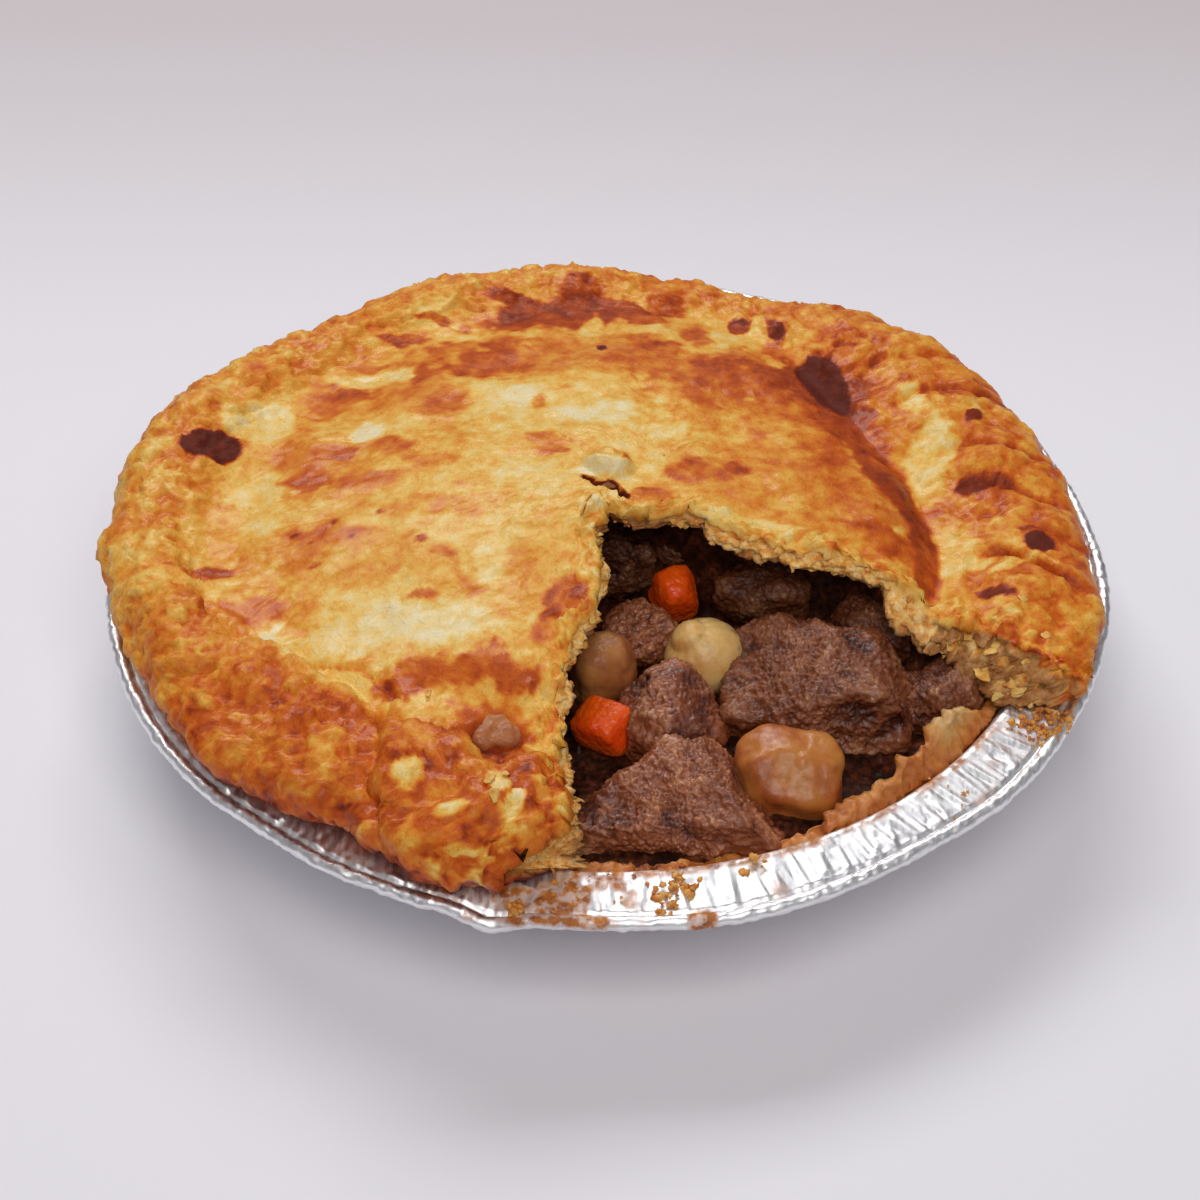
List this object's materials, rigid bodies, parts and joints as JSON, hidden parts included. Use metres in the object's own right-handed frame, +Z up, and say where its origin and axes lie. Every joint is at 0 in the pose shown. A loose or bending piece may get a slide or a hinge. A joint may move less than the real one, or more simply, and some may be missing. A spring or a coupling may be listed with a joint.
{
  "type": "beef and ale pie",
  "caption": "Round pastry-topped beef pie in a shallow foil tin, with one slice taken out to show the beef, onion, carrot and potato filling.",
  "frame": {"origin": "middle of the tin's base, on the surface it stands on", "axes": "+Z up out of the pie; the missing slice opens towards -Y and +X"},
  "size_m": [0.2038, 0.2038, 0.05],
  "materials": {
    "foil": "bright crinkled foil",
    "base_pastry": "baked pastry, soft and stained inside",
    "crust": "golden flaky pastry with browned patches",
    "gravy": "wet dark gravy",
    "beef": "moist fibrous stewed beef",
    "onion": "glazed translucent onion",
    "potato": "soft stained potato",
    "carrot": "soft glazed carrot"
  },
  "bodies": {
    "root": {"foil_tin": "foil", "foil_flange": "foil", "pastry_case": "base_pastry", "pastry_lid": "crust", "beef_filling": "gravy", "beef_piece_right": "beef", "beef_piece_front": "beef", "beef_piece_middle": "beef", "beef_piece_small": "beef", "beef_piece_edge": "beef", "filling_on_crust": "beef", "pearl_onion": "onion", "onion_piece": "onion", "potato_piece": "potato", "carrot_piece_back": "carrot", "carrot_piece_front": "carrot"}
  },
  "joints": []
}
